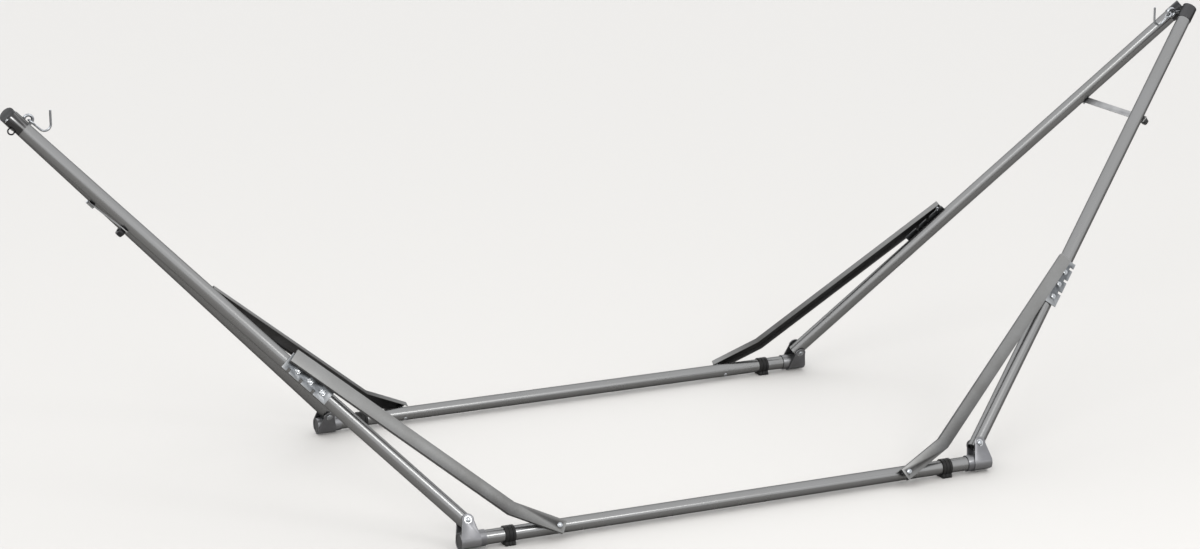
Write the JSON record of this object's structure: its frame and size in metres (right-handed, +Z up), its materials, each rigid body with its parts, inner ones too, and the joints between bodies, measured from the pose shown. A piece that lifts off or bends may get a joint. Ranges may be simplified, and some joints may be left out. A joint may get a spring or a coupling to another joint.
{
  "type": "hammock stand",
  "caption": "Folding hammock stand: leaning side frames meet at a hook at each end, with folding arms, channel braces, catch plates and cross straps.",
  "frame": {"origin": "centre of the stand on the floor", "axes": "+X along the stand, +Y from the front frame to the back frame, +Z up"},
  "size_m": [3.4564, 1.1742, 1.1154],
  "materials": {
    "frame_paint": "satin metallic",
    "brace_steel": "fine matte",
    "zinc": "bright zinc",
    "black_plastic": "matte",
    "black_rubber": "matte",
    "strap_steel": "matte"
  },
  "bodies": {
    "front_base": {"front_rail": "frame_paint", "front_rail_plugs": "black_plastic", "front_foot_collars": "black_rubber", "front_brackets": "frame_paint", "front_arm_rivets": "zinc", "front_brace_rivets": "zinc"},
    "back_base": {"back_rail": "frame_paint", "back_rail_plugs": "black_plastic", "back_foot_collars": "black_rubber", "back_brackets": "frame_paint", "back_arm_rivets": "zinc", "back_brace_rivets": "zinc"},
    "front_left_arm": {"front_left_arm": "frame_paint", "front_left_arm_cap": "frame_paint", "front_left_catch_plate": "zinc", "front_left_catch_bolts": "zinc", "left_eye_bolt": "zinc", "left_eye_nut": "zinc"},
    "front_left_brace": {"front_left_brace": "brace_steel", "front_left_brace_stud": "zinc"},
    "front_right_arm": {"front_right_arm": "frame_paint", "front_right_arm_cap": "frame_paint", "front_right_catch_plate": "zinc", "front_right_catch_bolts": "zinc"},
    "front_right_brace": {"front_right_brace": "brace_steel", "front_right_brace_stud": "zinc"},
    "back_right_arm": {"back_right_arm": "frame_paint", "back_right_arm_cap": "black_plastic", "back_right_catch_plate": "zinc", "back_right_catch_bolts": "zinc", "right_eye_bolt": "zinc", "right_eye_nut": "zinc", "right_strap_hinge": "zinc"},
    "back_right_brace": {"back_right_brace": "brace_steel", "back_right_brace_stud": "zinc"},
    "back_left_arm": {"back_left_arm": "frame_paint", "back_left_arm_cap": "black_plastic", "back_left_catch_plate": "zinc", "back_left_catch_bolts": "zinc", "left_strap_hinge": "zinc"},
    "back_left_brace": {"back_left_brace": "brace_steel", "back_left_brace_stud": "zinc"},
    "right_strap": {"right_strap": "strap_steel", "right_strap_knob": "black_plastic"},
    "right_hook": {"right_hook": "zinc"},
    "left_strap": {"left_strap": "strap_steel", "left_strap_knob": "black_plastic"},
    "left_hook": {"left_hook": "zinc"}
  },
  "joints": [
    {"name": "frames_close", "type": "hinge", "parent": "front_base", "child": "back_base", "pos_m": [0, 0, 1.08723], "axis": [-1, 0, 0], "range_deg": [0, 44]},
    {"name": "front_left_arm_fold", "type": "hinge", "parent": "front_base", "child": "front_left_arm", "pos_m": [-0.738, -0.52067, 0.06991], "axis": [0, 0.8996, -0.4368], "range_deg": [0, 126.39]},
    {"name": "front_left_brace_fold", "type": "hinge", "parent": "front_base", "child": "front_left_brace", "pos_m": [-0.503, -0.56936, 0.0383], "axis": [0, 0.8996, -0.4368], "range_deg": [0, 138.5]},
    {"name": "front_right_arm_fold", "type": "hinge", "parent": "front_base", "child": "front_right_arm", "pos_m": [0.738, -0.52067, 0.06991], "axis": [-0.0418, -0.9063, 0.4205], "range_deg": [0, 126.39]},
    {"name": "front_right_brace_fold", "type": "hinge", "parent": "front_base", "child": "front_right_brace", "pos_m": [0.503, -0.56936, 0.0383], "axis": [0, -0.8996, 0.4368], "range_deg": [0, 114.5]},
    {"name": "back_right_arm_fold", "type": "hinge", "parent": "back_base", "child": "back_right_arm", "pos_m": [0.738, 0.52067, 0.06991], "axis": [0, -0.8996, -0.4368], "range_deg": [0, 126.39]},
    {"name": "back_right_brace_fold", "type": "hinge", "parent": "back_base", "child": "back_right_brace", "pos_m": [0.503, 0.56936, 0.0383], "axis": [0, -0.8996, -0.4368], "range_deg": [0, 138.5]},
    {"name": "back_left_arm_fold", "type": "hinge", "parent": "back_base", "child": "back_left_arm", "pos_m": [-0.738, 0.52067, 0.06991], "axis": [0.0418, 0.9063, 0.4205], "range_deg": [0, 126.39]},
    {"name": "back_left_brace_fold", "type": "hinge", "parent": "back_base", "child": "back_left_brace", "pos_m": [-0.503, 0.56936, 0.0383], "axis": [0, 0.8996, 0.4368], "range_deg": [0, 114.5]},
    {"name": "right_strap_swing", "type": "hinge", "parent": "back_right_arm", "child": "right_strap", "pos_m": [1.48072, 0.14804, 0.82122], "axis": [0.6871, 0, 0.7266], "range_deg": [0, 91]},
    {"name": "right_hook_swing", "type": "hinge", "parent": "back_right_arm", "child": "right_hook", "pos_m": [1.664, 0, 1.08723], "axis": [0, -1, 0], "range_deg": [-44, 20]},
    {"name": "left_strap_swing", "type": "hinge", "parent": "back_left_arm", "child": "left_strap", "pos_m": [-1.48072, 0.14804, 0.82122], "axis": [0.6871, 0, -0.7266], "range_deg": [0, 91]},
    {"name": "left_hook_swing", "type": "hinge", "parent": "front_left_arm", "child": "left_hook", "pos_m": [-1.664, 0, 1.08723], "axis": [0, 1, 0], "range_deg": [-44, 20]}
  ],
  "couplings": [
    {"joint": "front_left_brace_fold", "follows": "front_left_arm_fold", "ratio": 1.0919},
    {"joint": "front_right_brace_fold", "follows": "front_right_arm_fold", "ratio": 0.90197},
    {"joint": "back_right_brace_fold", "follows": "back_right_arm_fold", "ratio": 1.0919},
    {"joint": "back_left_brace_fold", "follows": "back_left_arm_fold", "ratio": 0.90197},
    {"joint": "right_strap_swing", "follows": "frames_close", "ratio": 2.0455},
    {"joint": "left_strap_swing", "follows": "frames_close", "ratio": 2.0455}
  ]
}
